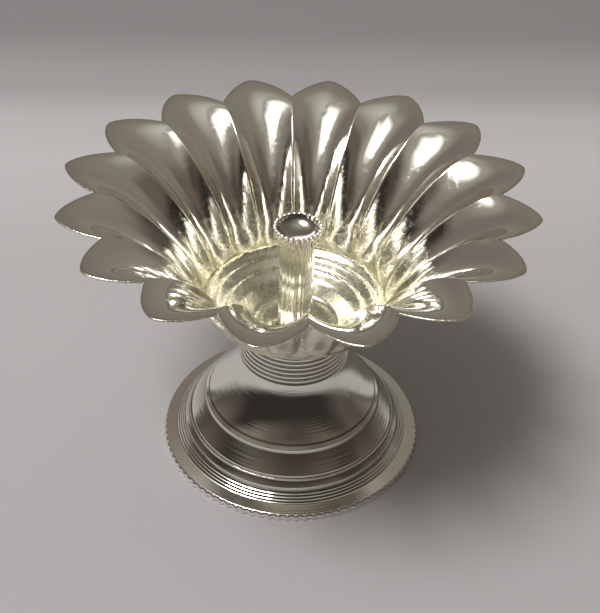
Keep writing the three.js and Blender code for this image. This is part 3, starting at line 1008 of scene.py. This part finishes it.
def add_floor(stage):
    """A wide pale floor just under the lamp: a flat disc inside a ring that rises outwards."""
    count = FLOOR_SIDES
    turn = np.arange(count) / count * 2 * np.pi
    rim = np.stack([np.cos(turn), np.sin(turn), np.zeros(count)], axis=1) * FLOOR_RADIUS
    points = np.vstack([rim, rim * 2 + [0, 0, FLOOR_RISE]])
    after = np.roll(np.arange(count), -1)
    sides = np.stack([np.arange(count), np.arange(count) + count, after + count, after], axis=1)
    mesh = bpy.data.meshes.new("floor")
    mesh.from_pydata(points.tolist(), [], [list(range(count)), *sides.tolist()])
    material, tree, shader = new_material("Floor")
    apart = node(tree, "ShaderNodeSeparateXYZ")
    tree.links.new(object_place(tree), apart.inputs[0])
    back = remap(tree, apart.outputs[1], FLOOR_FRONT, FLOOR_BACK, 0, 1)
    # painted light and shade on the floor: lighter in a band, darker towards the back
    tones = [(place, [share * channel for channel in stage.floor]) for place, share in FLOOR_TONES]
    tree.links.new(tone_ramp(tree, back, tones, "EASE"), shader.inputs["Base Color"])
    shader.inputs["Roughness"].default_value = 0.6
    mesh.materials.append(material)
    floor = bpy.data.objects.new("floor", mesh)
    floor.location.z = -FLOOR_DROP
    bpy.context.scene.collection.objects.link(floor)


def direction(azimuth, elevation):
    """Unit vector towards a compass direction: 0 is towards the viewer, 90 to the lamp's right."""
    azimuth, elevation = np.radians([azimuth, elevation])
    level = np.cos(elevation)
    return np.array([np.sin(azimuth) * level, -np.cos(azimuth) * level, np.sin(elevation)])


def add_key_light():
    """One large soft light, high up on the left."""
    light = bpy.data.lights.new("Key", "AREA")
    light.shape = "ELLIPSE"
    light.size, light.size_y = KEY_WIDTH, KEY_HEIGHT
    light.energy = KEY_POWER
    lamp = bpy.data.objects.new("Key", light)
    lamp.location = direction(KEY_AZIMUTH, KEY_ELEVATION) * KEY_DISTANCE
    lamp.rotation_euler = (-lamp.location).to_track_quat("-Z", "Y").to_euler()
    bpy.context.scene.collection.objects.link(lamp)


def smooth_band(tree, distance, half, soft):
    """1 within a half-width on either side, 0 beyond it, with a soft edge, all in degrees."""
    away = sum_of(tree, "ABSOLUTE", distance)
    return remap(tree, away, half + soft, half - soft, 0, 1, "SMOOTHSTEP")


def add_world():
    """The surround: its tone follows the height above the horizon, with soft cards laid over it.

    A card covers the directions within its half-width in azimuth and its half-height in elevation,
    and a later card lies over the ones before it.
    """
    world = bpy.data.worlds.new("Studio")
    bpy.context.scene.world = world
    world.use_nodes = True
    tree = world.node_tree
    apart = node(tree, "ShaderNodeSeparateXYZ")
    tree.links.new(node(tree, "ShaderNodeTexCoord").outputs["Generated"], apart.inputs[0])
    degrees = 180 / np.pi
    elevation = sum_of(tree, "MULTIPLY", sum_of(tree, "ARCSINE", apart.outputs[2]), degrees)
    forward = sum_of(tree, "MULTIPLY", apart.outputs[1], -1)
    azimuth = sum_of(
        tree, "MULTIPLY", sum_of(tree, "ARCTAN2", apart.outputs[0], forward), degrees)
    tones = [(level / 90, colour) for level, colour in SURROUND]
    colour = tone_ramp(tree, remap(tree, elevation, 0, 90, 0, 1), tones)
    for turn, level, half_width, half_height, soft, shade in CARDS:
        across = sum_of(tree, "WRAP", sum_of(tree, "SUBTRACT", azimuth, turn), 180, -180)
        up = sum_of(tree, "SUBTRACT", elevation, level)
        wide = smooth_band(tree, across, half_width, soft * 2)
        tall = smooth_band(tree, up, half_height, soft)
        colour = blend(tree, sum_of(tree, "MULTIPLY", wide, tall), colour, shade)
    tree.links.new(colour, tree.nodes["Background"].inputs["Color"])
    tree.nodes["Background"].inputs["Strength"].default_value = 1


class LAMP_OT_stage(bpy.types.Operator):
    """Set up the camera, the floor, the surround and the key light"""

    bl_idname = "lamp.stage"
    bl_label = "Studio"

    def execute(self, context):
        stage = context.scene.lamp.stage
        add_camera(stage)
        add_floor(stage)
        add_world()
        add_key_light()
        context.scene.view_settings.view_transform = "Standard"
        return {"FINISHED"}


# Panel and registration


class LampSettings(bpy.types.PropertyGroup):
    """All sizes and finishes of the lamp."""

    bowl: PointerProperty(type=BowlSizes, name="Bowl", description="Sizes of the bowl")
    foot: PointerProperty(type=FootSizes, name="Foot", description="Sizes of the foot")
    wick: PointerProperty(type=WickSizes, name="Wick cup", description="Sizes of the wick cup")
    finish: PointerProperty(type=SilverFinish, name="Finish", description="Colours of the metal")
    stage: PointerProperty(type=StageSettings, name="Stage", description="Floor and camera")


class LAMP_PT_panel(bpy.types.Panel):
    """Lists the lamp's sizes and the operators that build it"""

    bl_label = "Lotus oil lamp"
    bl_space_type = "VIEW_3D"
    bl_region_type = "UI"
    bl_category = "Lamp"

    def draw(self, context):
        lamp = context.scene.lamp
        for group in (lamp.bowl, lamp.foot, lamp.wick, lamp.finish, lamp.stage):
            box = self.layout.box()
            for key in group.__annotations__:
                box.prop(group, key)
        for operator in OPERATORS:
            self.layout.operator(operator.bl_idname)


OPERATORS = (LAMP_OT_bowl, LAMP_OT_foot, LAMP_OT_wick_holder, LAMP_OT_fasteners, LAMP_OT_stage)
CLASSES = (
    BowlSizes, FootSizes, WickSizes, SilverFinish, StageSettings, LampSettings,
    *OPERATORS, LAMP_PT_panel,
)


def register():
    """Registers the classes and the lamp's settings."""
    for kind in CLASSES:
        bpy.utils.register_class(kind)
    bpy.types.Scene.lamp = PointerProperty(
        type=LampSettings, name="Lamp", description="The lamp's settings")


def unregister():
    """Takes the settings and the classes out again."""
    del bpy.types.Scene.lamp
    for kind in reversed(CLASSES):
        bpy.utils.unregister_class(kind)


def main():
    """Builds the lamp and its stage."""
    register()
    bpy.ops.lamp.stage()
    bpy.ops.lamp.bowl()
    bpy.ops.lamp.foot()
    bpy.ops.lamp.wick_holder()
    bpy.ops.lamp.fasteners()


if __name__ == "__main__":
    main()
